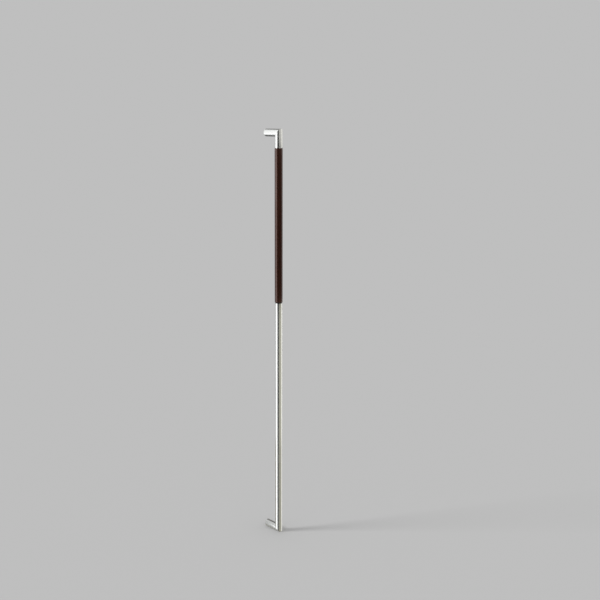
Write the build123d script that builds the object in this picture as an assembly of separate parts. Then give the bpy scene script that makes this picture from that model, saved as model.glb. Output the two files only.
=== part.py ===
from build123d import *
import math
import os

# Door push bar, sizes in millimetres.
# +Z runs up along the bar, the mounting plane is y = 0 and the bar stands in front of it, at -Y.
# The origin is the centre of the lower foot, on the mounting plane.

# Steel tube
tube_diameter = 25.0
tube_wall = 2.0
tube_end_break = 0.3

# Layout of the bar
fixing_centres = 1400.0
bar_standoff = 60.0
upper_stub_length = 50.0

# Wooden grip
grip_length = 520.0
grip_overhang = 1.0
grip_end_radius = 1.2

# Ring in the joint below the grip
ring_thickness = 3.0
ring_recess = 1.2

# Inserts bonded into the tubes
bond_gap = 0.05
insert_chamfer = 0.8

# Core through the grip
socket_wall = 2.4
socket_end_margin = 4.0
core_gap_in_socket = 0.05
core_gap_in_wood = 0.15
core_end_chamfer = 1.0
core_thread_diameter = 12.0
core_thread_pitch = 1.75
core_spigot_length = 24.0
core_plug_length = 30.0
thread_gap = 0.03

# Set screws that lock the core
set_screw_count = 2
set_screw_diameter = 5.0
set_screw_pitch = 0.8
set_screw_inset = 10.0
set_screw_spacing = 12.0
set_screw_end_margin = 6.0
set_screw_recess = 0.4
set_screw_seat_gap = 0.02
set_screw_cup_diameter = 2.5
set_screw_cup_depth = 0.6
set_screw_key_size = 2.5
set_screw_key_depth = 2.0

# Plugs in the feet
foot_plug_length = 26.0
foot_plug_recess = 0.5
foot_thread_diameter = 8.0
foot_thread_pitch = 1.25
foot_thread_depth = 20.0
foot_thread_mouth = 0.6
drill_point_angle = 118.0

# Sizes that follow from those above
tube_radius = tube_diameter / 2
bore_radius = tube_radius - tube_wall
insert_radius = bore_radius - bond_gap
core_radius = insert_radius - socket_wall - core_gap_in_socket
grip_radius = tube_radius + grip_overhang
grip_bore_radius = core_radius + core_gap_in_wood
core_in_stub = set_screw_inset + (set_screw_count - 1) * set_screw_spacing + set_screw_end_margin
socket_length = core_in_stub + socket_end_margin

# Heights along the bar
grip_top = fixing_centres - upper_stub_length
grip_bottom = grip_top - grip_length
lower_bar_top = grip_bottom - ring_thickness
core_top = grip_top + core_in_stub

# Faces of the set screws, measured from the bar's axis
set_screw_tip = core_radius + set_screw_seat_gap
set_screw_head = tube_radius - set_screw_recess

bar_axis = Plane(origin=(0, -bar_standoff, 0))


def minor_radius(diameter, pitch):
    """Radius at the crests of an internal metric thread, which is also the size of its tapping hole."""
    return diameter / 2 - 0.5413 * pitch


core_tap_radius = minor_radius(core_thread_diameter, core_thread_pitch)
set_screw_tap_radius = minor_radius(set_screw_diameter, set_screw_pitch)
foot_tap_radius = minor_radius(foot_thread_diameter, foot_thread_pitch)


def turned(points, plane):
    """A solid of revolution about the plane's z axis, from a closed outline of (radius, height) points."""
    outline = make_face(Plane.XZ * Polyline(*points, close=True))
    return plane * revolve(outline, axis=Axis.Z)


def bar_level(height):
    """The horizontal plane through the bar's axis at a height."""
    return bar_axis.offset(height)


def mitred_tube(bar_end, foot_height):
    """Tube along the bar from bar_end to a square mitred corner, then back to the mounting plane."""
    start = Vector(0, -bar_standoff, bar_end)
    corner = Vector(0, -bar_standoff, foot_height)
    foot = Vector(0, 0, foot_height)
    path = Polyline(start, corner, foot)
    section = Plane(origin=start, z_dir=corner - start)
    outside = sweep(section * Circle(tube_radius), path=path, transition=Transition.RIGHT)
    inside = sweep(section * Circle(bore_radius), path=path, transition=Transition.RIGHT)
    return break_tube_ends(outside - inside, start, foot)


def break_tube_ends(tube, *ends):
    """Takes the sharp edge off the outer rim of each open tube end."""
    circles = tube.edges().filter_by(GeomType.CIRCLE)
    rims = [e for e in circles if math.isclose(e.radius, tube_radius, abs_tol=0.001)]
    open_rims = [e for e in rims if min((e.arc_center - end).length for end in ends) < tube_wall]
    return chamfer(open_rims, length=tube_end_break)


def set_screw_planes():
    """One plane for each set screw, on the bar's axis, with z pointing at the mounting plane."""
    planes = []
    for i in range(set_screw_count):
        height = grip_top + set_screw_inset + i * set_screw_spacing
        planes.append(Plane(origin=(0, -bar_standoff, height), x_dir=(1, 0, 0), z_dir=(0, 1, 0)))
    return planes


def set_screw_holes():
    """Tapping holes through the stub and the socket, from the bar's axis out to the door side."""
    reach = Cylinder(set_screw_tap_radius, tube_diameter, align=(Align.CENTER, Align.CENTER, Align.MIN))
    return [plane * reach for plane in set_screw_planes()]


def upper_bracket():
    return mitred_tube(grip_top, fixing_centres) - set_screw_holes()


def lower_bar():
    return mitred_tube(lower_bar_top, 0)


def wood_grip():
    """Turned sleeve with its core bore, and rounded ends."""
    blank = Cylinder(grip_radius, grip_length, align=(Align.CENTER, Align.CENTER, Align.MIN))
    ends = blank.edges().filter_by(GeomType.CIRCLE)
    rounded = fillet(ends, radius=grip_end_radius)
    bore = Cylinder(grip_bore_radius, grip_length, align=(Align.CENTER, Align.CENTER, Align.MIN))
    return bar_level(grip_bottom) * (rounded - bore)


def joint_ring():
    """Elastic ring between the grip and the lower tube, set back from both to leave a shadow line."""
    outer = Cylinder(tube_radius - ring_recess, ring_thickness, align=(Align.CENTER, Align.CENTER, Align.MIN))
    bore = Cylinder(grip_bore_radius, ring_thickness, align=(Align.CENTER, Align.CENTER, Align.MIN))
    return bar_level(lower_bar_top) * (outer - bore)


def core_rod():
    """Rod with a threaded spigot that screws into the lower plug until its shoulder seats."""
    spigot_radius = core_tap_radius - thread_gap
    body_length = core_top - lower_bar_top
    points = [
        (0, -core_spigot_length),
        (spigot_radius - core_end_chamfer, -core_spigot_length),
        (spigot_radius, core_end_chamfer - core_spigot_length),
        (spigot_radius, 0),
        (core_radius, 0),
        (core_radius, body_length - core_end_chamfer),
        (core_radius - core_end_chamfer, body_length),
        (0, body_length),
    ]
    return turned(points, bar_level(lower_bar_top))


def lower_core_plug():
    """Plug flush with the top of the lower tube, tapped right through for the core's spigot."""
    points = [
        (core_tap_radius, -core_plug_length),
        (insert_radius - insert_chamfer, -core_plug_length),
        (insert_radius, insert_chamfer - core_plug_length),
        (insert_radius, 0),
        (core_tap_radius, 0),
    ]
    return turned(points, bar_level(lower_bar_top))


def upper_core_socket():
    """Bored insert flush with the end of the stub, in which the core's plain end is locked."""
    bore = core_radius + core_gap_in_socket
    points = [
        (bore, 0),
        (insert_radius, 0),
        (insert_radius, socket_length - insert_chamfer),
        (insert_radius - insert_chamfer, socket_length),
        (bore, socket_length),
    ]
    return turned(points, bar_level(grip_top)) - set_screw_holes()


def set_screw(plane):
    """Socket set screw with a cup point on the core and a hexagon socket on the door side."""
    body_radius = set_screw_tap_radius - thread_gap
    cup_radius = set_screw_cup_diameter / 2
    cone_height = body_radius - cup_radius
    points = [
        (0, set_screw_tip + set_screw_cup_depth),
        (cup_radius, set_screw_tip),
        (body_radius, set_screw_tip + cone_height),
        (body_radius, set_screw_head),
        (0, set_screw_head),
    ]
    across_corners = set_screw_key_size / math.cos(math.radians(30))
    hexagon = RegularPolygon(across_corners / 2, 6)
    socket = extrude(plane.offset(set_screw_head) * hexagon, amount=-set_screw_key_depth)
    return turned(points, plane) - socket


def foot_plug(height):
    """Plug just inside the post's open end, with a blind tapped hole for the screw through the door."""
    point_height = foot_tap_radius / math.tan(math.radians(drill_point_angle / 2))
    tap_depth = foot_thread_depth + foot_thread_mouth
    points = [
        (0, -foot_plug_length),
        (insert_radius - insert_chamfer, -foot_plug_length),
        (insert_radius, insert_chamfer - foot_plug_length),
        (insert_radius, 0),
        (foot_tap_radius + foot_thread_mouth, 0),
        (foot_tap_radius, -foot_thread_mouth),
        (foot_tap_radius, -tap_depth),
        (0, -tap_depth - point_height),
    ]
    face = Plane(origin=(0, -foot_plug_recess, height), x_dir=(1, 0, 0), z_dir=(0, 1, 0))
    return turned(points, face)


parts = {
    "upper_bracket": upper_bracket(),
    "wood_grip": wood_grip(),
    "joint_ring": joint_ring(),
    "lower_bar": lower_bar(),
    "core_rod": core_rod(),
    "lower_core_plug": lower_core_plug(),
    "upper_core_socket": upper_core_socket(),
    "upper_foot_plug": foot_plug(fixing_centres),
    "lower_foot_plug": foot_plug(0),
}
for number, plane in enumerate(set_screw_planes(), start=1):
    parts[f"grub_screw_{number}"] = set_screw(plane)

os.makedirs("parts", exist_ok=True)
for name, shape in parts.items():
    export_step(shape, f"parts/{name}.step")
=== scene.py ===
"""Detailed pieces, finishes and a plain studio for a tall steel door push bar with a wooden grip."""

import math

import bmesh
import bpy
from bpy.props import FloatProperty, FloatVectorProperty, PointerProperty
from mathutils import Matrix, Vector


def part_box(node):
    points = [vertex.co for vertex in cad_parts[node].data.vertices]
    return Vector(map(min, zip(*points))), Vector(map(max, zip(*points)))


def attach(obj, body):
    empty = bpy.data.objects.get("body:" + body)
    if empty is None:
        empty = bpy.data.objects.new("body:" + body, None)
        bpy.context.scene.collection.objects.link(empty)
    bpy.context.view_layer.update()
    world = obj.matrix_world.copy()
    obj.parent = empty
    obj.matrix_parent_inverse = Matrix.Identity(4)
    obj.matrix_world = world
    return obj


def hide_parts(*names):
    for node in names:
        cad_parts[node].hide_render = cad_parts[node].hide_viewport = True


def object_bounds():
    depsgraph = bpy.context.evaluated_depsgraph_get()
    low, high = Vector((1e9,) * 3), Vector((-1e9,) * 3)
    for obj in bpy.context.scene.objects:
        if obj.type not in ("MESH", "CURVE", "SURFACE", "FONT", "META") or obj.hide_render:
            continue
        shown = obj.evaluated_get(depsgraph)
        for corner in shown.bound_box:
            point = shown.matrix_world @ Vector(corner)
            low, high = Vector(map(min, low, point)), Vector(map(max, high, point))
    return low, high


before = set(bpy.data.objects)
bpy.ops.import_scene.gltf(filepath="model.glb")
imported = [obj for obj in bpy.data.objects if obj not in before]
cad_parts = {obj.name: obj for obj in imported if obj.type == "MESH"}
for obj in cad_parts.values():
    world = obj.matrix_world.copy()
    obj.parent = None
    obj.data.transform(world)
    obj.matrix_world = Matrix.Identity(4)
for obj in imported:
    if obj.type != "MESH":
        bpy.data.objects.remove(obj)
cad_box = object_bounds()

bl_info = {
    "name": "Door Push Bar",
    "version": (1, 0, 0),
    "blender": (4, 5, 0),
    "location": "3D View > Sidebar > Push Bar",
    "description": "Builds a tall steel push bar with a wooden grip, and a studio to show it in",
    "category": "Object",
}

# Places and sizes that come from the frame, in metres
bar_low, bar_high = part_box("lower_bar")
bracket_low, bracket_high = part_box("upper_bracket")
grip_low, grip_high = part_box("wood_grip")
ring_low, ring_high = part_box("joint_ring")
rod_low, rod_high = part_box("core_rod")
socket_low, socket_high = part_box("upper_core_socket")
plug_low, plug_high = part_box("lower_core_plug")
foot_low, foot_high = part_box("lower_foot_plug")

TUBE_RADIUS = (bar_high.x - bar_low.x) / 2
GRIP_RADIUS = (grip_high.x - grip_low.x) / 2
RING_RADIUS = (ring_high.x - ring_low.x) / 2
ROD_RADIUS = (rod_high.x - rod_low.x) / 2
INSERT_RADIUS = (plug_high.x - plug_low.x) / 2
BAR_Y = bar_low.y + TUBE_RADIUS
LOWER_POST_Z = bar_low.z + TUBE_RADIUS
UPPER_POST_Z = bracket_high.z - TUBE_RADIUS
FLOOR_Z = cad_box[0].z

ROUND_STEPS = 96
SMOOTH_ANGLE = math.radians(35)
DRILL_POINT_ANGLE = 118

# Distances within which points are merged, are cut as lying on a plane, or are found on one
WELD_DISTANCE = 2e-6
CUT_DISTANCE = 1e-8
ON_PLANE = 1e-6

# How far a cutting tool reaches past the face it cuts, and how square to its leg a tube's end face is
CUT_MARGIN = 0.001
END_FACING = 0.9


class PushBarSizes(bpy.types.PropertyGroup):
    """Sizes of the details that the frame's boxes don't give."""

    tube_wall: FloatProperty(
        name="Tube wall", description="Thickness of the steel tube", default=0.002, unit="LENGTH")
    rim_break: FloatProperty(
        name="Rim break", description="Edge taken off each open tube end", default=0.0003, unit="LENGTH")
    mitre_round: FloatProperty(
        name="Mitre rounding", description="Rounding ground onto the welded mitre",
        default=0.00035, unit="LENGTH")
    grip_end_radius: FloatProperty(
        name="Grip end radius", description="Rounding of the grip's two ends",
        default=0.0012, unit="LENGTH")
    rod_clearance: FloatProperty(
        name="Rod clearance", description="Gap round the core rod in the grip",
        default=0.00015, unit="LENGTH")
    socket_clearance: FloatProperty(
        name="Socket clearance", description="Gap round the core rod in its socket",
        default=0.00005, unit="LENGTH")
    insert_chamfer: FloatProperty(
        name="Insert chamfer", description="Lead-in at the inner end of each insert",
        default=0.0008, unit="LENGTH")
    thread_gap: FloatProperty(
        name="Thread gap", description="Play between a screw and its thread",
        default=0.00003, unit="LENGTH")
    rod_chamfer: FloatProperty(
        name="Rod chamfer", description="Chamfer at the rod's upper end", default=0.001, unit="LENGTH")
    rod_thread: FloatProperty(
        name="Rod thread", description="Diameter of the thread at the rod's lower end",
        default=0.012, unit="LENGTH")
    rod_pitch: FloatProperty(
        name="Rod pitch", description="Pitch of the rod's thread", default=0.00175, unit="LENGTH")
    foot_thread: FloatProperty(
        name="Foot thread", description="Diameter of the fixing thread in each foot",
        default=0.008, unit="LENGTH")
    foot_pitch: FloatProperty(
        name="Foot pitch", description="Pitch of the fixing thread", default=0.00125, unit="LENGTH")
    foot_thread_depth: FloatProperty(
        name="Foot thread depth", description="Depth of the fixing thread", default=0.0206, unit="LENGTH")
    screw_thread: FloatProperty(
        name="Set screw thread", description="Diameter of the set screws", default=0.005, unit="LENGTH")
    screw_pitch: FloatProperty(
        name="Set screw pitch", description="Pitch of the set screws", default=0.0008, unit="LENGTH")
    screw_chamfer: FloatProperty(
        name="Set screw chamfer", description="Chamfer at the head of a set screw",
        default=0.0004, unit="LENGTH")
    screw_cup: FloatProperty(
        name="Set screw cup", description="Diameter of the cup point", default=0.0025, unit="LENGTH")
    screw_key: FloatProperty(
        name="Set screw key", description="Width across the flats of the hexagon socket",
        default=0.0025, unit="LENGTH")
    screw_key_depth: FloatProperty(
        name="Key depth", description="Depth of the hexagon socket", default=0.002, unit="LENGTH")


class PushBarFinish(bpy.types.PropertyGroup):
    """Colours and finishes."""

    steel_color: FloatVectorProperty(
        name="Steel", description="Colour of the brushed steel", subtype="COLOR", size=3,
        default=(0.725, 0.717, 0.668), min=0, max=1)
    steel_roughness: FloatProperty(
        name="Steel roughness", description="Mean roughness of the brushed steel",
        default=0.23, min=0, max=1, subtype="FACTOR")
    grain_width: FloatProperty(
        name="Grain width", description="Width of the widest brushed lines",
        default=0.0004, unit="LENGTH")
    grain_length: FloatProperty(
        name="Grain length", description="Length of the brushed lines", default=0.045, unit="LENGTH")
    wood_color: FloatVectorProperty(
        name="Wood", description="Main colour of the hardwood", subtype="COLOR", size=3,
        default=(0.034, 0.0095, 0.0049), min=0, max=1)
    wood_dark_color: FloatVectorProperty(
        name="Dark wood", description="Colour of the dark growth rings", subtype="COLOR", size=3,
        default=(0.011, 0.0035, 0.002), min=0, max=1)
    wood_roughness: FloatProperty(
        name="Wood roughness", description="Roughness of the wood under its lacquer",
        default=0.22, min=0, max=1, subtype="FACTOR")
    lacquer_weight: FloatProperty(
        name="Lacquer", description="How much clear lacquer is on the wood",
        default=0.35, min=0, max=1, subtype="FACTOR")
    lacquer_roughness: FloatProperty(
        name="Lacquer roughness", description="Roughness of the lacquer",
        default=0.2, min=0, max=1, subtype="FACTOR")
    wood_sheen_tint: FloatVectorProperty(
        name="Wood sheen", description="Tint of the light that the wood reflects",
        subtype="COLOR", size=3, default=(1.0, 0.6, 0.45), min=0, max=1)
    ring_spacing: FloatProperty(
        name="Ring spacing", description="Distance between growth rings", default=0.0021, unit="LENGTH")
    rubber_color: FloatVectorProperty(
        name="Rubber", description="Colour of the joint ring", subtype="COLOR", size=3,
        default=(0.012, 0.012, 0.012), min=0, max=1)
    screw_color: FloatVectorProperty(
        name="Screws", description="Colour of the set screws", subtype="COLOR", size=3,
        default=(0.33, 0.33, 0.34), min=0, max=1)


class PushBarStudio(bpy.types.PropertyGroup):
    """Floor, light and camera."""

    camera_azimuth: FloatProperty(
        name="Camera azimuth", description="Turn of the camera round the bar, in degrees", default=-43.0)
    camera_distance: FloatProperty(
        name="Camera distance", description="Level distance from the bar", default=3.017, unit="LENGTH")
    camera_rise: FloatProperty(
        name="Camera rise", description="Height of the camera above the upper post",
        default=0.057, unit="LENGTH")
    camera_pitch: FloatProperty(
        name="Camera pitch", description="Downward tilt of the camera, in degrees", default=11.61)
    lens: FloatProperty(
        name="Lens", description="Focal length in millimetres on a 36 mm sensor", default=54.0)
    shift: FloatProperty(
        name="Shift", description="Sideways shift that sets the bar left of the middle", default=0.0355)
    background: FloatProperty(
        name="Background", description="Level of the pale backdrop, where 1 is white", default=0.52)
    ambient: FloatProperty(
        name="Ambient light", description="Level of the even light from all sides", default=0.8)
    key_strength: FloatProperty(
        name="Key light", description="Strength of the soft main light", default=1.5)
    key_bearing: FloatProperty(
        name="Key light bearing", description="Turn of the main light to the camera's left, in degrees",
        default=82.0)
    key_rise: FloatProperty(
        name="Key light rise", description="Rise of the main light for each unit of level distance",
        default=0.7)
    key_spread: FloatProperty(
        name="Key light spread", description="Angle that the main light fills, in degrees", default=14.0)
    floor_color: FloatVectorProperty(
        name="Floor", description="Colour of the floor", subtype="COLOR", size=3,
        default=(0.484, 0.484, 0.484), min=0, max=1)
    floor_radius: FloatProperty(
        name="Floor radius", description="Size of the floor", default=30.0, unit="LENGTH")
    fade_start: FloatProperty(
        name="Fade start", description="Where the floor starts to fade into the backdrop",
        default=0.6, unit="LENGTH")
    fade_end: FloatProperty(
        name="Fade end", description="Where the floor has become the backdrop",
        default=3.2, unit="LENGTH")


# Mesh helpers


def place_along(point, direction):
    """A matrix with its origin at a point, z along a direction square to X, and x along world X."""
    x_axis = Vector((1, 0, 0))
    z_axis = direction.normalized()
    y_axis = z_axis.cross(x_axis)
    turn = Matrix((x_axis, y_axis, z_axis)).transposed().to_4x4()
    return Matrix.Translation(point) @ turn


def bar_place(height):
    """Upright place on the bar's axis."""
    return place_along(Vector((0, BAR_Y, height)), Vector((0, 0, 1)))


def finish_normals(bm):
    """Merges doubles and points the faces outwards."""
    bmesh.ops.remove_doubles(bm, verts=bm.verts[:], dist=WELD_DISTANCE)
    bmesh.ops.recalc_face_normals(bm, faces=bm.faces[:])


def turned(outline, place=Matrix.Identity(4), steps=ROUND_STEPS):
    """A solid of revolution about the place's z axis, from (radius, height) points."""
    bm = bmesh.new()
    verts = [bm.verts.new((radius, 0, height)) for radius, height in outline]
    edges = [bm.edges.new(pair) for pair in zip(verts, verts[1:])]
    if outline[0][0] > 0 or outline[-1][0] > 0:
        edges.append(bm.edges.new((verts[-1], verts[0])))
    bmesh.ops.spin(
        bm, geom=verts + edges, cent=(0, 0, 0), axis=(0, 0, 1), angle=2 * math.pi,
        steps=steps, use_merge=True)
    finish_normals(bm)
    bmesh.ops.transform(bm, matrix=place, verts=bm.verts[:])
    return bm


def rounded_corner(corner_radius, corner_height, rounding, start_angle, steps=6):
    """Points of a quarter circle that rounds an outline's corner, from start_angle on, in degrees."""
    middle_angle = math.radians(start_angle + 45)
    outward = Vector((math.cos(middle_angle), math.sin(middle_angle)))
    centre = Vector((corner_radius, corner_height)) - outward * rounding * math.sqrt(2)
    points = []
    for i in range(steps + 1):
        angle = math.radians(start_angle + 90 * i / steps)
        points.append((centre.x + rounding * math.cos(angle), centre.y + rounding * math.sin(angle)))
    return points


def rounded_sleeve(bore, radius, low, high, rounding):
    """Turned sleeve on the bar's axis, rounded at both ends of its outside."""
    length = high - low
    outline = [(bore, 0.0)]
    outline += rounded_corner(radius, 0.0, rounding, -90)
    outline += rounded_corner(radius, length, rounding, 0)
    outline += [(bore, length)]
    return turned(outline, bar_place(low))


def chamfered_cylinder(radius, low, high, chamfer):
    """Turned cylinder along z from low to high, chamfered at its low end."""
    return turned([
        (0.0, low),
        (radius - chamfer, low),
        (radius, low + chamfer),
        (radius, high),
        (0.0, high),
    ])


def cut_off(bm, point, normal):
    """Takes away what lies on the normal's side of a plane."""
    bmesh.ops.bisect_plane(
        bm, geom=bm.verts[:] + bm.edges[:] + bm.faces[:], dist=CUT_DISTANCE,
        plane_co=point, plane_no=normal, clear_outer=True)


def minor_radius(diameter, pitch):
    """Radius at the crests of an internal metric thread."""
    return diameter / 2 - 0.5413 * pitch


def thread_solid(low, high, diameter, pitch, gap=0.0, steps=32):
    """A metric thread along z from low to high, with flat ends; a gap makes it slimmer all over."""
    major = diameter / 2 - gap
    minor = minor_radius(diameter, pitch) - gap
    # Starts two turns low and ends past the top, so that both cuts meet whole turns only
    first = math.floor(low / pitch) - 2
    turns = math.ceil(high / pitch) - first + 1
    # Radii and heights in pitches: the crest is flat for an eighth, the root for a quarter
    profile = ((minor, 1 / 8), (major, 7 / 16), (major, 9 / 16), (minor, 7 / 8), (minor, 9 / 8))
    bm = bmesh.new()
    verts = [bm.verts.new((radius, 0, (first + share) * pitch)) for radius, share in profile]
    edges = [bm.edges.new(pair) for pair in zip(verts, verts[1:])]
    bmesh.ops.spin(
        bm, geom=verts + edges, cent=(0, 0, 0), axis=(0, 0, 1), angle=2 * math.pi * turns,
        steps=steps * turns, dvec=(0, 0, pitch / steps), use_merge=False)
    bmesh.ops.remove_doubles(bm, verts=bm.verts[:], dist=WELD_DISTANCE)
    for height, side in ((low, -1), (high, 1)):
        cut_off(bm, (0, 0, height), (0, 0, side))
        rim = [e for e in bm.edges if e.is_boundary and all(
            abs(v.co.z - height) < ON_PLANE for v in e.verts)]
        bmesh.ops.edgeloop_fill(bm, edges=rim)
    bmesh.ops.recalc_face_normals(bm, faces=bm.faces[:])
    return bm


def mesh_from(bm, name):
    """A mesh with what the bmesh holds; the bmesh is used up."""
    mesh = bpy.data.meshes.new(name)
    bm.to_mesh(mesh)
    bm.free()
    return mesh


def add_object(name, data):
    """A new object in the scene, at the origin."""
    item = bpy.data.objects.new(name, data)
    bpy.context.scene.collection.objects.link(item)
    return item


def check_closed(bm, what):
    """Stops the build if a solid has a hole in its surface."""
    gaps = sum(not edge.is_manifold for edge in bm.edges)
    if gaps or not bm.faces:
        raise RuntimeError(f"{what} isn't closed: {gaps} open edges")


def combined(bm, tool, operation):
    """The first solid less, plus or cut to the second; both are used up."""
    parts = []
    for name, source in (("solid", bm), ("tool", tool)):
        check_closed(source, name)
        parts.append(add_object(name, mesh_from(source, name)))
    modifier = parts[0].modifiers.new("Cut", "BOOLEAN")
    modifier.operation = operation
    modifier.solver = "MANIFOLD"
    modifier.object = parts[1]
    depsgraph = bpy.context.evaluated_depsgraph_get()
    result = bmesh.new()
    result.from_object(parts[0], depsgraph)
    for part in parts:
        mesh = part.data
        bpy.data.objects.remove(part)
        bpy.data.meshes.remove(mesh)
    finish_normals(result)
    return result


def placed(bm, place):
    """The same mesh, moved to its place."""
    bmesh.ops.transform(bm, matrix=place, verts=bm.verts[:])
    return bm


def new_piece(name, bm, materials, node):
    """Makes a finished piece that rides on the bar, stands in for its node, which it hides, and takes the
    given finishes.
    """
    check_closed(bm, name)
    for face in bm.faces:
        face.smooth = True
    for edge in bm.edges:
        edge.smooth = edge.calc_face_angle(0.0) < SMOOTH_ANGLE
    piece = add_object(name, mesh_from(bm, name))
    for material in materials:
        piece.data.materials.append(material)
    weighted = piece.modifiers.new("Weighted Normal", "WEIGHTED_NORMAL")
    weighted.keep_sharp = True
    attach(piece, "root")
    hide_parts(node)


# Tubes


def tube_leg(place, length, bore_radius, cut_point, cut_normal):
    """A straight tube along the place's z axis, square at its start and cut off at the mitre."""
    bm = bmesh.new()
    for radius in (TUBE_RADIUS, bore_radius):
        bmesh.ops.create_circle(bm, cap_ends=False, radius=radius, segments=ROUND_STEPS)
    bmesh.ops.bridge_loops(bm, edges=bm.edges[:])
    grown = bmesh.ops.extrude_face_region(bm, geom=bm.faces[:], use_keep_orig=True)
    far = [item for item in grown["geom"] if isinstance(item, bmesh.types.BMVert)]
    bmesh.ops.translate(bm, vec=(0, 0, length), verts=far)
    bmesh.ops.transform(bm, matrix=place, verts=bm.verts[:])
    cut_off(bm, cut_point, cut_normal)
    return bm


def joined(*meshes):
    """One mesh from several, with their matching edges merged."""
    whole = bmesh.new()
    for bm in meshes:
        mesh = mesh_from(bm, "leg")
        whole.from_mesh(mesh)
        bpy.data.meshes.remove(mesh)
    finish_normals(whole)
    return whole


def bevel_edges(bm, edges, width, segments=2):
    """Rounds the given edges."""
    bmesh.ops.bevel(
        bm, geom=edges, offset=width, offset_type="OFFSET", segments=segments, profile=0.5,
        affect="EDGES", material=-1, clamp_overlap=True)


def mitred_tube(bar_end, post_height, sizes):
    """Tube along the bar from bar_end to a square mitred corner, and along the post to its foot."""
    bore_radius = TUBE_RADIUS - sizes.tube_wall
    start = Vector((0, BAR_Y, bar_end))
    corner = Vector((0, BAR_Y, post_height))
    foot = Vector((0, 0, post_height))
    along_bar = (corner - start).normalized()
    along_post = (foot - corner).normalized()
    mitre = (along_bar + along_post).normalized()
    past_corner = 2 * TUBE_RADIUS
    tube = joined(
        tube_leg(place_along(start, along_bar), (corner - start).length + past_corner,
                 bore_radius, corner, mitre),
        tube_leg(place_along(foot, -along_post), (foot - corner).length + past_corner,
                 bore_radius, corner, -mitre))

    def on_outside(vert):
        return axis_distance(vert.co, corner, mitre) > mid_wall(bore_radius)

    def edges_at(point, normal):
        return [e for e in tube.edges if all(
            abs((v.co - point).dot(normal)) < ON_PLANE and on_outside(v) for v in e.verts)]

    bevel_edges(tube, edges_at(corner, mitre), sizes.mitre_round)
    bevel_edges(tube, edges_at(start, along_bar), sizes.rim_break)
    bevel_edges(tube, edges_at(foot, along_post), sizes.rim_break)
    for face in tube.faces:
        face.material_index = tube_finish(face, corner, mitre, along_bar, along_post, bore_radius)
    return tube


def axis_distance(point, corner, mitre):
    """How far a point of a mitred tube lies from the axis of its own leg."""
    offset = point - corner
    return math.hypot(offset.x, offset.y if offset.dot(mitre) <= 0 else offset.z)


def mid_wall(bore_radius):
    """Radius of the middle of a tube's wall."""
    return (TUBE_RADIUS + bore_radius) / 2


def tube_finish(face, corner, mitre, along_bar, along_post, bore_radius):
    """Material index of a tube's face: 0 bar side, 1 post side, 2 bore, 3 foot end, 4 end at the grip."""
    centre = face.calc_center_median()
    on_post = (centre - corner).dot(mitre) > 0
    leg = along_post if on_post else along_bar
    if abs(face.normal.dot(leg)) > END_FACING and abs((centre - corner).dot(leg)) > 2 * TUBE_RADIUS:
        return 3 if on_post else 4
    if axis_distance(centre, corner, mitre) < mid_wall(bore_radius):
        return 2
    return 1 if on_post else 0


def screw_places():
    """The places of the set screws: on the bar's axis, with z towards the feet's plane."""
    places = []
    for node in sorted(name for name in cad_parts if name.startswith("grub_screw_")):
        low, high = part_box(node)
        centre = Vector((0, BAR_Y, (low.z + high.z) / 2))
        places.append((node, place_along(centre, Vector((0, 1, 0))), low.y - BAR_Y, high.y - BAR_Y))
    return places


def tapped(bm, sizes):
    """The solid with the set screws' threaded holes through its wall on the door side."""
    for _, place, _, _ in screw_places():
        tap = thread_solid(ROD_RADIUS / 2, 2 * TUBE_RADIUS, sizes.screw_thread, sizes.screw_pitch)
        bm = combined(bm, placed(tap, place), "DIFFERENCE")
    return bm


# Shader helpers


def feed(tree, socket, value):
    """Sets a socket from a number, a tuple or another node's output."""
    if isinstance(value, bpy.types.NodeSocket):
        tree.links.new(value, socket)
    else:
        socket.default_value = value


def calculate(tree, operation, first, second=0.0):
    """Output of a Math node."""
    node = tree.nodes.new("ShaderNodeMath")
    node.operation = operation
    feed(tree, node.inputs[0], first)
    feed(tree, node.inputs[1], second)
    return node.outputs[0]


def add_share(tree, base, value, share):
    """Output of base + value * share."""
    return calculate(tree, "ADD", base, calculate(tree, "MULTIPLY", value, share))


# The range of a mask, from none to all
WHOLE = (0.0, 1.0)


def remap(tree, value, source, target=WHOLE, smooth=False):
    """Output of a Map Range node that takes one range to another, clamped."""
    node = tree.nodes.new("ShaderNodeMapRange")
    node.interpolation_type = "SMOOTHSTEP" if smooth else "LINEAR"
    names = ("Value", "From Min", "From Max", "To Min", "To Max")
    for name, number in zip(names, (value, *source, *target)):
        feed(tree, node.inputs[name], number)
    return node.outputs["Result"]


def noise(tree, vector, scale=1.0, detail=2.0, roughness=0.5, distortion=0.0):
    """Factor output of a Noise Texture."""
    node = tree.nodes.new("ShaderNodeTexNoise")
    feed(tree, node.inputs["Vector"], vector)
    feed(tree, node.inputs["Scale"], scale)
    feed(tree, node.inputs["Detail"], detail)
    feed(tree, node.inputs["Roughness"], roughness)
    feed(tree, node.inputs["Distortion"], distortion)
    return node.outputs["Fac"]


def vector_math(tree, operation, first, second):
    """Vector output of a Vector Math node."""
    node = tree.nodes.new("ShaderNodeVectorMath")
    node.operation = operation
    feed(tree, node.inputs[0], first)
    feed(tree, node.inputs[1], second)
    return node.outputs["Vector"]


def stretched(tree, vector, across, along):
    """The vector in units of a feature's size: across in x and y, along in z."""
    combine = tree.nodes.new("ShaderNodeCombineXYZ")
    feed(tree, combine.inputs["X"], across)
    feed(tree, combine.inputs["Y"], across)
    feed(tree, combine.inputs["Z"], along)
    return vector_math(tree, "DIVIDE", vector, combine.outputs["Vector"])


def blend_colors(tree, factor, first, second):
    """Colour output of a Mix node."""
    node = tree.nodes.new("ShaderNodeMix")
    node.data_type = "RGBA"
    feed(tree, node.inputs["Factor"], factor)
    feed(tree, node.inputs[6], first)
    feed(tree, node.inputs[7], second)
    return node.outputs[2]


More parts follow.
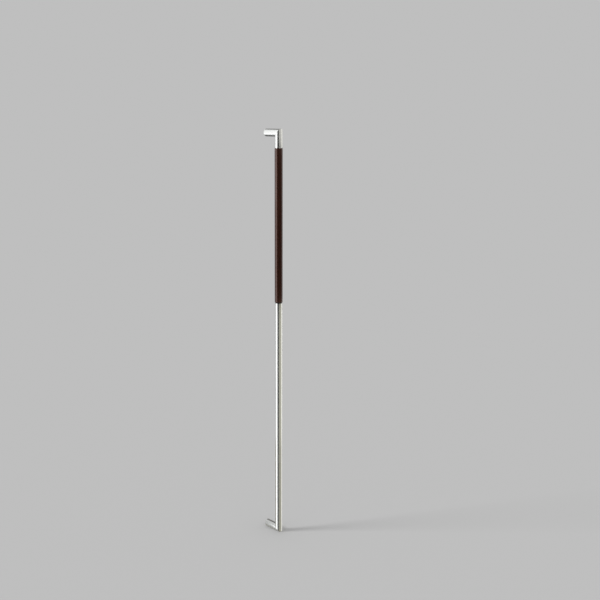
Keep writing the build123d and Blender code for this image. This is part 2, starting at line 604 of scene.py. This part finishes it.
def radius_and_height(tree, vector):
    """A point's distance from the z axis, and its height along it."""
    separate = tree.nodes.new("ShaderNodeSeparateXYZ")
    feed(tree, separate.inputs["Vector"], vector)
    x, y, z = (separate.outputs[name] for name in "XYZ")
    squares = calculate(tree, "ADD", calculate(tree, "MULTIPLY", x, x), calculate(tree, "MULTIPLY", y, y))
    return calculate(tree, "SQRT", squares), z


def new_group(name, inputs, outputs):
    """An empty shader node group; returns its tree and its input and output nodes."""
    tree = bpy.data.node_groups.new(name, "ShaderNodeTree")
    for socket_name, kind in inputs:
        tree.interface.new_socket(socket_name, in_out="INPUT", socket_type=kind)
    for socket_name, kind in outputs:
        tree.interface.new_socket(socket_name, in_out="OUTPUT", socket_type=kind)
    return tree, tree.nodes.new("NodeGroupInput"), tree.nodes.new("NodeGroupOutput")


def use_group(tree, name, **values):
    """Places a node group in a material and feeds its inputs; spaces in their names are underscores."""
    node = tree.nodes.new("ShaderNodeGroup")
    node.node_tree = bpy.data.node_groups.get(name) or GROUP_MAKERS[name]()
    for key, value in values.items():
        feed(tree, node.inputs[key.replace("_", " ")], value)
    return node


FLOAT = "NodeSocketFloat"
VECTOR = "NodeSocketVector"


def make_brushed_lines():
    """Fine lines along z: broad soft ones, and a finer set within them."""
    tree, given, result = new_group(
        "Brushed Lines",
        (("Vector", VECTOR), ("Line Width", FLOAT), ("Line Length", FLOAT)),
        (("Lines", FLOAT), ("Height", FLOAT)))
    scaled = stretched(
        tree, given.outputs["Vector"], given.outputs["Line Width"], given.outputs["Line Length"])
    broad = noise(tree, scaled, scale=1.0, detail=2.0, roughness=0.6)
    fine = noise(tree, scaled, scale=3.3, detail=2.0, roughness=0.7)
    height = add_share(tree, calculate(tree, "MULTIPLY", broad, 0.55), fine, 0.45)
    feed(tree, result.inputs["Lines"], remap(tree, height, (0.36, 0.64)))
    feed(tree, result.inputs["Height"], height)
    return tree


def make_handling_marks():
    """Soft cloudy patches where hands and cloths have been, with a few smears along z."""
    tree, given, result = new_group(
        "Handling Marks", (("Vector", VECTOR), ("Patch Size", FLOAT)), (("Marks", FLOAT),))
    patch_length = calculate(tree, "MULTIPLY", given.outputs["Patch Size"], 2.2)
    scaled = stretched(tree, given.outputs["Vector"], given.outputs["Patch Size"], patch_length)
    clouds = noise(tree, scaled, scale=1.0, detail=4.0, roughness=0.55, distortion=0.6)
    feed(tree, result.inputs["Marks"], remap(tree, clouds, (0.4, 0.72), smooth=True))
    return tree


def make_hairline_scratches():
    """Sparse thin scratches that wander about z, as a mask."""
    tree, given, result = new_group(
        "Hairline Scratches",
        (("Vector", VECTOR), ("Spacing", FLOAT), ("Length", FLOAT)), (("Scratches", FLOAT),))
    scaled = stretched(tree, given.outputs["Vector"], given.outputs["Spacing"], given.outputs["Length"])
    field = noise(tree, scaled, scale=1.0, detail=1.0, roughness=0.4, distortion=0.3)
    level = calculate(tree, "ABSOLUTE", calculate(tree, "SUBTRACT", field, 0.5))
    lines = remap(tree, level, (0.0, 0.006), (1.0, 0.0))
    gate = remap(tree, noise(tree, scaled, scale=0.6, detail=0.0), (0.5, 0.62))
    feed(tree, result.inputs["Scratches"], calculate(tree, "MULTIPLY", lines, gate))
    return tree


def make_turning_marks():
    """Fine grooves left by a lathe about z: rings on a face, and turns along a side."""
    tree, given, result = new_group(
        "Turning Marks", (("Vector", VECTOR), ("Feed", FLOAT)), (("Grooves", FLOAT),))
    radius, height = radius_and_height(tree, given.outputs["Vector"])
    turns = calculate(tree, "DIVIDE", calculate(tree, "ADD", radius, height), given.outputs["Feed"])
    grooves = tree.nodes.new("ShaderNodeTexNoise")
    grooves.noise_dimensions = "1D"
    grooves.inputs["Detail"].default_value = 2.0
    feed(tree, grooves.inputs["W"], turns)
    feed(tree, result.inputs["Grooves"], remap(tree, grooves.outputs["Fac"], (0.35, 0.65)))
    return tree


def make_timber_figure():
    """Growth rings round an axis beside the piece, fibre streaks, and open pores along z."""
    tree, given, result = new_group(
        "Timber Figure",
        (("Vector", VECTOR), ("Ring Spacing", FLOAT)),
        (("Rings", FLOAT), ("Fibres", FLOAT), ("Pores", FLOAT)))
    vector = given.outputs["Vector"]
    wander_width = (0.011, 0.011, 0.0)
    pith_offset = (0.034, 0.052, 0.0)
    wander = tree.nodes.new("ShaderNodeTexNoise")
    wander.inputs["Scale"].default_value = 1.0
    wander.inputs["Detail"].default_value = 2.0
    feed(tree, wander.inputs["Vector"], stretched(tree, vector, across=0.03, along=0.22))
    shifted = vector_math(tree, "SUBTRACT", wander.outputs["Color"], (0.5, 0.5, 0.5))
    bent = vector_math(tree, "ADD", vector, vector_math(tree, "MULTIPLY", shifted, wander_width))
    radius, _ = radius_and_height(tree, vector_math(tree, "ADD", bent, pith_offset))
    rings = calculate(tree, "DIVIDE", radius, given.outputs["Ring Spacing"])
    ring_share = calculate(tree, "FRACT", rings)
    late = calculate(tree, "POWER", ring_share, 2.2)
    falling = remap(tree, ring_share, (0.9, 1.0), (1.0, 0.0), smooth=True)
    feed(tree, result.inputs["Rings"], calculate(tree, "MULTIPLY", late, falling))
    fibres = noise(tree, stretched(tree, bent, across=0.0006, along=0.06), detail=3.0, roughness=0.65)
    feed(tree, result.inputs["Fibres"], remap(tree, fibres, (0.34, 0.66)))
    pores = noise(tree, stretched(tree, bent, across=0.00028, along=0.0065), detail=1.0)
    feed(tree, result.inputs["Pores"], remap(tree, pores, (0.61, 0.68), smooth=True))
    return tree


GROUP_MAKERS = {
    "Brushed Lines": make_brushed_lines,
    "Handling Marks": make_handling_marks,
    "Hairline Scratches": make_hairline_scratches,
    "Turning Marks": make_turning_marks,
    "Timber Figure": make_timber_figure,
}


def new_material(name):
    """A material with a Principled shader; returns it, its tree and the shader."""
    material = bpy.data.materials.new(name)
    material.use_nodes = True
    tree = material.node_tree
    return material, tree, tree.nodes["Principled BSDF"]


def object_vector(tree, origin=(0, 0, 0), turn=(0, 0, 0)):
    """Object coordinates, from an origin and turned by whole axes."""
    coordinates = tree.nodes.new("ShaderNodeTexCoord")
    mapping = tree.nodes.new("ShaderNodeMapping")
    mapping.vector_type = "TEXTURE"
    mapping.inputs["Location"].default_value = origin
    mapping.inputs["Rotation"].default_value = turn
    tree.links.new(coordinates.outputs["Object"], mapping.inputs["Vector"])
    return mapping.outputs["Vector"]


def bump(tree, height, strength, distance):
    """Normal output of a Bump node."""
    node = tree.nodes.new("ShaderNodeBump")
    node.inputs["Strength"].default_value = strength
    node.inputs["Distance"].default_value = distance
    feed(tree, node.inputs["Height"], height)
    return node.outputs["Normal"]


def set_surface(tree, shader, metallic, color, roughness, normal=None):
    """Gives a shader its metallic level, colour, roughness and normal."""
    shader.inputs["Metallic"].default_value = metallic
    feed(tree, shader.inputs["Base Color"], color)
    feed(tree, shader.inputs["Roughness"], roughness)
    if normal is not None:
        feed(tree, shader.inputs["Normal"], normal)


# Turns that lay a pattern's z axis along the bar or along a post
ALONG_BAR = (0, 0, 0)
ALONG_POST = (math.radians(-90), 0, 0)


def shade(color, share):
    """A colour scaled by a share, with alpha."""
    return tuple(min(1.0, channel * share) for channel in color) + (1.0,)


def blend_shades(tree, factor, color, low, high):
    """Colour output that runs from one shade of a colour to another."""
    return blend_colors(tree, factor, shade(color, low), shade(color, high))


def brushed_steel(finish, name, turn):
    """Satin stainless steel with fine lines along the tube, soft marks and a few scratches."""
    material, tree, shader = new_material(name)
    vector = object_vector(tree, (0, BAR_Y, 0), turn)
    brushed = use_group(
        tree, "Brushed Lines", Vector=vector,
        Line_Width=finish.grain_width, Line_Length=finish.grain_length)
    marks = use_group(tree, "Handling Marks", Vector=vector, Patch_Size=0.035).outputs["Marks"]
    scratches = use_group(
        tree, "Hairline Scratches", Vector=vector, Spacing=0.004, Length=0.09).outputs["Scratches"]
    lines = brushed.outputs["Lines"]
    color = blend_shades(tree, lines, finish.steel_color, 0.9, 1.07)
    base = finish.steel_roughness
    roughness = remap(tree, lines, WHOLE, (base + 0.05, base - 0.04))
    roughness = add_share(tree, roughness, marks, 0.03)
    roughness = add_share(tree, roughness, scratches, -0.06)
    height = add_share(tree, brushed.outputs["Height"], scratches, -0.2)
    normal = bump(tree, height, strength=0.16, distance=0.00006)
    set_surface(tree, shader, 1.0, color, roughness, normal)
    return material


def bore_steel(finish):
    """Dull inside of drawn tube, with a grey film."""
    material, tree, shader = new_material("drawn_tube_bore")
    vector = object_vector(tree, (0, BAR_Y, 0))
    film = use_group(tree, "Handling Marks", Vector=vector, Patch_Size=0.012).outputs["Marks"]
    color = blend_shades(tree, film, finish.steel_color, 0.62, 0.45)
    set_surface(tree, shader, 1.0, color, remap(tree, film, WHOLE, (0.42, 0.6)))
    return material


def turned_steel(finish, name, origin, turn):
    """Turned steel with lathe grooves about the piece's own axis."""
    material, tree, shader = new_material(name)
    vector = object_vector(tree, origin, turn)
    grooves = use_group(tree, "Turning Marks", Vector=vector, Feed=0.00022).outputs["Grooves"]
    marks = use_group(tree, "Handling Marks", Vector=vector, Patch_Size=0.008).outputs["Marks"]
    color = blend_shades(tree, grooves, finish.steel_color, 0.74, 0.9)
    roughness = add_share(tree, remap(tree, grooves, WHOLE, (0.3, 0.22)), marks, 0.07)
    normal = bump(tree, grooves, strength=0.5, distance=0.00002)
    set_surface(tree, shader, 1.0, color, roughness, normal)
    return material


def screw_steel(finish, name, origin):
    """Darkened steel of the set screws, brighter where it is rubbed."""
    material, tree, shader = new_material(name)
    vector = object_vector(tree, origin, ALONG_POST)
    grooves = use_group(tree, "Turning Marks", Vector=vector, Feed=0.0001).outputs["Grooves"]
    marks = use_group(tree, "Handling Marks", Vector=vector, Patch_Size=0.0016).outputs["Marks"]
    color = blend_shades(tree, marks, finish.screw_color, 0.8, 1.3)
    roughness = remap(tree, marks, WHOLE, (0.42, 0.3))
    normal = bump(tree, grooves, strength=0.3, distance=0.00001)
    set_surface(tree, shader, 1.0, color, roughness, normal)
    return material


def dark_hardwood(finish):
    """Lacquered dark hardwood: growth rings, fibres and open pores, all along the grip."""
    material, tree, shader = new_material("dark_hardwood")
    vector = object_vector(tree, (0, BAR_Y, 0))
    figure = use_group(tree, "Timber Figure", Vector=vector, Ring_Spacing=finish.ring_spacing)
    rings, fibres, pores = (figure.outputs[name] for name in ("Rings", "Fibres", "Pores"))
    polish = use_group(tree, "Handling Marks", Vector=vector, Patch_Size=0.05).outputs["Marks"]
    dark = finish.wood_dark_color
    ground = blend_shades(tree, fibres, finish.wood_color, 0.78, 1.35)
    ringed = blend_colors(tree, calculate(tree, "MULTIPLY", rings, 0.8), ground, shade(dark, 1.0))
    color = blend_colors(tree, calculate(tree, "MULTIPLY", pores, 0.75), ringed, shade(dark, 0.6))
    base = finish.wood_roughness
    roughness = remap(tree, fibres, WHOLE, (base + 0.05, base - 0.03))
    roughness = add_share(tree, roughness, pores, 0.2)
    roughness = add_share(tree, roughness, polish, -0.05)
    height = calculate(tree, "SUBTRACT", calculate(tree, "MULTIPLY", fibres, 0.25), pores)
    normal = bump(tree, height, strength=0.5, distance=0.00008)
    set_surface(tree, shader, 0.0, color, roughness, normal)
    shader.inputs["Coat Weight"].default_value = finish.lacquer_weight
    shader.inputs["Coat Roughness"].default_value = finish.lacquer_roughness
    shader.inputs["Specular Tint"].default_value = (*finish.wood_sheen_tint, 1)
    return material


def black_rubber(finish):
    """Matt black rubber with a fine moulded grain."""
    material, tree, shader = new_material("black_rubber")
    vector = object_vector(tree, (0, BAR_Y, 0))
    grain = noise(tree, vector, scale=9000.0, detail=2.0)
    color = blend_shades(tree, grain, finish.rubber_color, 0.8, 1.5)
    roughness = remap(tree, grain, (0.3, 0.7), (0.7, 0.85))
    set_surface(tree, shader, 0.0, color, roughness, bump(tree, grain, strength=0.3, distance=0.00003))
    return material


def tube_materials(finish, label, post_height):
    """Finishes of one mitred tube: bar side, post side, bore, foot end and end at the grip."""
    return (
        brushed_steel(finish, f"{label}_brushed_along_bar", ALONG_BAR),
        brushed_steel(finish, f"{label}_brushed_along_post", ALONG_POST),
        bpy.data.materials.get("drawn_tube_bore") or bore_steel(finish),
        turned_steel(finish, f"{label}_foot_end", (0, 0, post_height), ALONG_POST),
        turned_steel(finish, f"{label}_grip_end", (0, BAR_Y, 0), ALONG_BAR),
    )


# Pieces


class PUSHBAR_OT_upper_bracket(bpy.types.Operator):
    """Build the upper stub and post, with the tapped holes for the set screws"""

    bl_idname = "push_bar.upper_bracket"
    bl_label = "Upper Bracket"

    def execute(self, context):
        sizes = context.scene.push_bar_sizes
        tube = mitred_tube(bracket_low.z, UPPER_POST_Z, sizes)
        materials = tube_materials(context.scene.push_bar_finish, "bracket", UPPER_POST_Z)
        new_piece("bracket_tube", tapped(tube, sizes), materials, "upper_bracket")
        return {"FINISHED"}


class PUSHBAR_OT_lower_bar(bpy.types.Operator):
    """Build the long lower tube and its post"""

    bl_idname = "push_bar.lower_bar"
    bl_label = "Lower Bar"

    def execute(self, context):
        sizes = context.scene.push_bar_sizes
        tube = mitred_tube(bar_high.z, LOWER_POST_Z, sizes)
        materials = tube_materials(context.scene.push_bar_finish, "bar", LOWER_POST_Z)
        new_piece("bar_tube", tube, materials, "lower_bar")
        return {"FINISHED"}


class PUSHBAR_OT_wood_grip(bpy.types.Operator):
    """Turn the wooden grip with its rounded ends and its bore"""

    bl_idname = "push_bar.wood_grip"
    bl_label = "Wooden Grip"

    def execute(self, context):
        sizes = context.scene.push_bar_sizes
        bore = ROD_RADIUS + sizes.rod_clearance
        grip = rounded_sleeve(bore, GRIP_RADIUS, grip_low.z, grip_high.z, sizes.grip_end_radius)
        wood = dark_hardwood(context.scene.push_bar_finish)
        new_piece("grip_sleeve", grip, [wood], "wood_grip")
        return {"FINISHED"}


class PUSHBAR_OT_joint_ring(bpy.types.Operator):
    """Build the rubber ring in the joint below the grip"""

    bl_idname = "push_bar.joint_ring"
    bl_label = "Joint Ring"

    def execute(self, context):
        sizes = context.scene.push_bar_sizes
        bore = ROD_RADIUS + sizes.rod_clearance
        rounding = (ring_high.z - ring_low.z) / 4
        ring = rounded_sleeve(bore, RING_RADIUS, ring_low.z, ring_high.z, rounding)
        rubber = black_rubber(context.scene.push_bar_finish)
        new_piece("joint_seal", ring, [rubber], "joint_ring")
        return {"FINISHED"}


class PUSHBAR_OT_core(bpy.types.Operator):
    """Build the core rod, its socket in the stub and its threaded plug in the lower tube"""

    bl_idname = "push_bar.core"
    bl_label = "Core"

    def execute(self, context):
        sizes = context.scene.push_bar_sizes
        steel = turned_steel(context.scene.push_bar_finish, "turned_core", (0, BAR_Y, 0), ALONG_BAR)
        new_piece("threaded_rod", self.rod(sizes), [steel], "core_rod")
        new_piece("socket_insert", self.socket(sizes), [steel], "upper_core_socket")
        new_piece("bar_plug", self.plug(sizes), [steel], "lower_core_plug")
        return {"FINISHED"}

    def rod(self, sizes):
        """Plain rod with a threaded spigot below its shoulder."""
        chamfer = sizes.rod_chamfer
        spigot_end = rod_low.z - bar_high.z
        length = rod_high.z - bar_high.z
        thread = thread_solid(
            spigot_end - CUT_MARGIN, CUT_MARGIN, sizes.rod_thread, sizes.rod_pitch, sizes.thread_gap)
        blank = chamfered_cylinder(sizes.rod_thread / 2, spigot_end, 2 * CUT_MARGIN, 1.5 * chamfer)
        spigot = combined(thread, blank, "INTERSECT")
        body_outline = [
            (0.0, 0.0),
            (ROD_RADIUS, 0.0),
            (ROD_RADIUS, length - chamfer),
            (ROD_RADIUS - chamfer, length),
            (0.0, length),
        ]
        rod = combined(turned(body_outline), spigot, "UNION")
        return placed(rod, bar_place(bar_high.z))

    def socket(self, sizes):
        """Bored insert with the set screws' threads through its wall."""
        bore = ROD_RADIUS + sizes.socket_clearance
        length = socket_high.z - socket_low.z
        chamfer = sizes.insert_chamfer
        outline = [
            (bore, 0.0),
            (INSERT_RADIUS, 0.0),
            (INSERT_RADIUS, length - chamfer),
            (INSERT_RADIUS - chamfer, length),
            (bore, length),
        ]
        return tapped(turned(outline, bar_place(socket_low.z)), sizes)

    def plug(self, sizes):
        """Plug with a thread right through."""
        length = plug_high.z - plug_low.z
        blank = chamfered_cylinder(INSERT_RADIUS, -length, 0.0, sizes.insert_chamfer)
        thread = thread_solid(-length - CUT_MARGIN, CUT_MARGIN, sizes.rod_thread, sizes.rod_pitch)
        return placed(combined(blank, thread, "DIFFERENCE"), bar_place(plug_high.z))


class PUSHBAR_OT_foot_inserts(bpy.types.Operator):
    """Build the two threaded plugs in the feet"""

    bl_idname = "push_bar.foot_inserts"
    bl_label = "Foot Inserts"

    def execute(self, context):
        sizes = context.scene.push_bar_sizes
        finish = context.scene.push_bar_finish
        for label, height in (("upper", UPPER_POST_Z), ("lower", LOWER_POST_Z)):
            steel = turned_steel(finish, f"turned_{label}_foot", (0, 0, height), ALONG_POST)
            place = place_along(Vector((0, foot_high.y, height)), Vector((0, 1, 0)))
            insert = placed(self.insert(sizes), place)
            new_piece(f"{label}_foot_insert", insert, [steel], f"{label}_foot_plug")
        return {"FINISHED"}

    def insert(self, sizes):
        """Turned plug with a blind thread, its outer face at z = 0."""
        length = foot_high.y - foot_low.y
        blank = chamfered_cylinder(INSERT_RADIUS, -length, 0.0, sizes.insert_chamfer)
        minor = minor_radius(sizes.foot_thread, sizes.foot_pitch)
        major = sizes.foot_thread / 2
        depth = sizes.foot_thread_depth
        point = minor / math.tan(math.radians(DRILL_POINT_ANGLE / 2))
        drill = turned([
            (0.0, -depth - point),
            (minor, -depth),
            (minor, minor - major),
            (major + CUT_MARGIN, CUT_MARGIN),
            (0.0, CUT_MARGIN),
        ])
        thread = thread_solid(-depth, CUT_MARGIN, sizes.foot_thread, sizes.foot_pitch)
        return combined(combined(blank, drill, "DIFFERENCE"), thread, "DIFFERENCE")


class PUSHBAR_OT_set_screws(bpy.types.Operator):
    """Build the set screws that lock the core"""

    bl_idname = "push_bar.set_screws"
    bl_label = "Set Screws"

    def execute(self, context):
        sizes = context.scene.push_bar_sizes
        finish = context.scene.push_bar_finish
        for number, (node, place, tip, head) in enumerate(screw_places(), start=1):
            steel = screw_steel(finish, f"set_screw_steel_{number}", place.translation)
            screw = placed(self.screw(sizes, tip, head), place)
            new_piece(f"set_screw_{number}", screw, [steel], node)
        return {"FINISHED"}

    def screw(self, sizes, tip, head):
        """Threaded screw along z with a cup point and a hexagon socket."""
        major = sizes.screw_thread / 2
        cup = sizes.screw_cup / 2
        chamfer = sizes.screw_chamfer
        blank = turned([
            (0.0, tip + cup / 2),
            (cup, tip),
            (major, tip + major - cup),
            (major, head - chamfer),
            (major - chamfer, head),
            (0.0, head),
        ], steps=48)
        thread = thread_solid(
            tip - CUT_MARGIN, head + CUT_MARGIN, sizes.screw_thread, sizes.screw_pitch, sizes.thread_gap)
        body = combined(thread, blank, "INTERSECT")
        corner_radius = sizes.screw_key / 2 / math.cos(math.radians(30))
        depth = sizes.screw_key_depth
        key = turned([
            (0.0, head - depth - corner_radius / 2),
            (corner_radius, head - depth),
            (corner_radius, head + CUT_MARGIN),
            (0.0, head + CUT_MARGIN),
        ], steps=6)
        return combined(body, key, "DIFFERENCE")


# Studio

SENSOR_WIDTH = 36.0


def camera_bearing(studio, left=0.0):
    """Level direction from the bar to the camera, or that many degrees further to the camera's left."""
    angle = math.radians(studio.camera_azimuth - left)
    return Vector((math.sin(angle), -math.cos(angle), 0))


def emission_material(name, level, tint):
    """A plain glowing surface."""
    material = bpy.data.materials.new(name)
    material.use_nodes = True
    tree = material.node_tree
    tree.nodes.clear()
    glow = tree.nodes.new("ShaderNodeEmission")
    glow.inputs["Color"].default_value = (*tint, 1)
    glow.inputs["Strength"].default_value = level
    output = tree.nodes.new("ShaderNodeOutputMaterial")
    tree.links.new(glow.outputs["Emission"], output.inputs["Surface"])
    return material


def stage_object(name, bm, material):
    """A mesh that belongs to the studio."""
    item = add_object(name, mesh_from(bm, name))
    item.data.materials.append(material)
    return item


def seen_by_background_rays(tree):
    """1 for camera, glossy and transmission rays, else 0."""
    path = tree.nodes.new("ShaderNodeLightPath")
    seen = path.outputs["Is Camera Ray"]
    for name in ("Is Glossy Ray", "Is Transmission Ray"):
        seen = calculate(tree, "MAXIMUM", seen, path.outputs[name])
    return seen


def mix_into(tree, output, factor, first, second):
    """Mixes two shaders by a factor into the output's surface."""
    mix = tree.nodes.new("ShaderNodeMixShader")
    for socket, value in zip(mix.inputs, (factor, first, second)):
        feed(tree, socket, value)
    feed(tree, output.inputs["Surface"], mix.outputs["Shader"])


def make_world(studio):
    """Pale backdrop for what is seen directly or in a reflection, and even light on everything else."""
    world = bpy.data.worlds.new("studio_world")
    world.use_nodes = True
    tree = world.node_tree
    tree.nodes.clear()
    shaders = []
    for level in (studio.ambient, studio.background):
        shader = tree.nodes.new("ShaderNodeBackground")
        shader.inputs["Color"].default_value = (1, 1, 1, 1)
        shader.inputs["Strength"].default_value = level
        shaders.append(shader.outputs["Background"])
    output = tree.nodes.new("ShaderNodeOutputWorld")
    mix_into(tree, output, seen_by_background_rays(tree), *shaders)
    bpy.context.scene.world = world


def floor_material(studio):
    """Matt pale floor that fades into the backdrop far from the bar."""
    material, tree, shader = new_material("studio_floor")
    shader.inputs["Base Color"].default_value = (*studio.floor_color, 1)
    shader.inputs["Roughness"].default_value = 1.0
    shader.inputs["Specular IOR Level"].default_value = 0.0
    radius, _ = radius_and_height(tree, object_vector(tree))
    far = remap(tree, radius, (studio.fade_start, studio.fade_end), smooth=True)
    glow = tree.nodes.new("ShaderNodeEmission")
    glow.inputs["Strength"].default_value = studio.background
    faded = calculate(tree, "MULTIPLY", far, seen_by_background_rays(tree))
    output = tree.nodes["Material Output"]
    mix_into(tree, output, faded, shader.outputs["BSDF"], glow.outputs["Emission"])
    return material


def make_floor(studio):
    """The floor under the bar's lowest point."""
    bm = bmesh.new()
    bmesh.ops.create_circle(
        bm, cap_ends=True, radius=studio.floor_radius, segments=ROUND_STEPS,
        matrix=Matrix.Translation((0, 0, FLOOR_Z)))
    floor = stage_object("floor", bm, floor_material(studio))
    floor.visible_glossy = False


# Upright strips round the bar that only its reflections see: name, from and to in degrees to the
# camera's left, and brightness beside the foot, the lower tube, the lower and upper half of the grip
# and the upper bracket
REFLECTION_RADIUS = 0.35
REFLECTION_BANDS = (
    ("foot", FLOOR_Z - 0.4),
    ("low", LOWER_POST_Z + 0.2),
    ("grip", grip_low.z - 0.06),
    ("upper_grip", (grip_low.z + grip_high.z) / 2 + 0.05),
    ("high", grip_high.z - 0.01),
)
REFLECTION_TOP = UPPER_POST_Z + 0.6
REFLECTION_STRIPS = (
    ("strip_front_dark", -10, 21, (0.08, 0.02, 0.02, 0.02, 0.03)),
    ("strip_left_grey", 21, 53, (0.54, 0.59, 0.02, 0.02, 0.5)),
    ("strip_left_bright", 53, 88, (2.1, 1.95, 2.45, 2.9, 1.75)),
    ("strip_left_side", 88, 118, (0.52, 0.78, 0.95, 1.55, 1.3)),
    ("strip_left_rear", 118, 150, (0.42, 0.74, 0.2, 0.2, 0.95)),
    ("strip_rear_dark", 150, 212, (0.35, 0.12, 0.06, 0.06, 0.12)),
    ("strip_right_rear", -148, -91, (1.1, 1.28, 0.8, 0.9, 1.16)),
    ("strip_right_grey", -91, -10, (0.45, 0.54, 0.06, 0.09, 0.71)),
)

# Tints of the strips: cool on the left, and warm low down on the right and behind the foot
COOL_TINT = (0.96, 0.985, 1.04)
WARM_TINT = (1.0, 0.995, 0.88)
NEUTRAL_TINT = (1.0, 1.0, 1.0)
WARM_STRIPS = ("strip_right_grey_foot", "strip_right_grey_low", "strip_left_rear_foot")


def make_reflection_strips(studio):
    """Bright and dark strips that give the round steel and the grip their bands."""
    names = [name for name, _ in REFLECTION_BANDS]
    heights = [height for _, height in REFLECTION_BANDS] + [REFLECTION_TOP]
    for name, start, end, levels in REFLECTION_STRIPS:
        for i, band in enumerate(names):
            strip = reflection_strip(studio, f"{name}_{band}", start, end, heights[i:i + 2], levels[i])
            strip.visible_camera = False
            strip.visible_diffuse = False
            strip.visible_shadow = False
            strip.visible_transmission = False


def strip_tint(name):
    """The tint of a strip's glow."""
    if name in WARM_STRIPS:
        return WARM_TINT
    return COOL_TINT if name.startswith("strip_left") else NEUTRAL_TINT


def reflection_strip(studio, name, start, end, heights, level):
    """One upright strip on a circle round the bar, from one bearing to another."""
    degrees_per_step = 4
    bm = bmesh.new()
    first = Vector((0, BAR_Y, 0)) + camera_bearing(studio, start) * REFLECTION_RADIUS
    verts = [bm.verts.new((first.x, first.y, height)) for height in heights]
    edge = bm.edges.new(verts)
    bmesh.ops.spin(
        bm, geom=[*verts, edge], cent=(0, BAR_Y, 0), axis=(0, 0, 1),
        angle=-math.radians(end - start), steps=math.ceil((end - start) / degrees_per_step))
    return stage_object(name, bm, emission_material(name, level, strip_tint(name)))


def make_key_light(studio):
    """A soft main light from high on the camera's left, even over the whole floor."""
    light = bpy.data.lights.new("key_light", "SUN")
    light.energy = studio.key_strength
    light.angle = math.radians(studio.key_spread)
    lamp = add_object("key_light", light)
    direction = camera_bearing(studio, studio.key_bearing) + Vector((0, 0, studio.key_rise))
    lamp.rotation_euler = direction.to_track_quat("Z", "Y").to_euler()
    lamp.visible_glossy = False


def make_camera(studio):
    """Camera at the photograph's viewing angle, with the bar upright in its view."""
    camera = bpy.data.cameras.new("camera")
    camera.lens = studio.lens
    camera.sensor_width = SENSOR_WIDTH
    camera.shift_x = studio.shift
    bearing = camera_bearing(studio)
    pitch = math.radians(studio.camera_pitch)
    view = -bearing * math.cos(pitch) - Vector((0, 0, math.sin(pitch)))
    eye = add_object("camera", camera)
    level = Vector((0, BAR_Y, UPPER_POST_Z + studio.camera_rise))
    eye.location = level + bearing * studio.camera_distance
    eye.rotation_euler = view.to_track_quat("-Z", "Y").to_euler()
    bpy.context.scene.camera = eye


class PUSHBAR_OT_studio(bpy.types.Operator):
    """Set up the floor, light, backdrop and camera"""

    bl_idname = "push_bar.studio"
    bl_label = "Studio"

    def execute(self, context):
        studio = context.scene.push_bar_studio
        make_world(studio)
        make_floor(studio)
        make_reflection_strips(studio)
        make_key_light(studio)
        make_camera(studio)
        context.scene.view_settings.view_transform = "Standard"
        return {"FINISHED"}


class PUSHBAR_PT_panel(bpy.types.Panel):
    """Sidebar panel with the bar's settings and its build steps"""

    bl_idname = "PUSHBAR_PT_panel"
    bl_label = "Door Push Bar"
    bl_space_type = "VIEW_3D"
    bl_region_type = "UI"
    bl_category = "Push Bar"

    def draw(self, context):
        for name, group in GROUPS:
            box = self.layout.box()
            for setting in group.__annotations__:
                box.prop(getattr(context.scene, name), setting)
        for operator in OPERATORS:
            self.layout.operator(operator.bl_idname)


OPERATORS = (
    PUSHBAR_OT_upper_bracket,
    PUSHBAR_OT_lower_bar,
    PUSHBAR_OT_wood_grip,
    PUSHBAR_OT_joint_ring,
    PUSHBAR_OT_core,
    PUSHBAR_OT_foot_inserts,
    PUSHBAR_OT_set_screws,
    PUSHBAR_OT_studio,
)
GROUPS = (
    ("push_bar_sizes", PushBarSizes),
    ("push_bar_finish", PushBarFinish),
    ("push_bar_studio", PushBarStudio),
)


def register():
    for name, group in GROUPS:
        bpy.utils.register_class(group)
        setattr(bpy.types.Scene, name, PointerProperty(type=group))
    for operator in OPERATORS:
        bpy.utils.register_class(operator)
    bpy.utils.register_class(PUSHBAR_PT_panel)


def unregister():
    bpy.utils.unregister_class(PUSHBAR_PT_panel)
    for operator in reversed(OPERATORS):
        bpy.utils.unregister_class(operator)
    for name, group in reversed(GROUPS):
        delattr(bpy.types.Scene, name)
        bpy.utils.unregister_class(group)


def main():
    register()
    for operator in OPERATORS:
        category, name = operator.bl_idname.split(".")
        getattr(getattr(bpy.ops, category), name)()


if __name__ == "__main__":
    main()
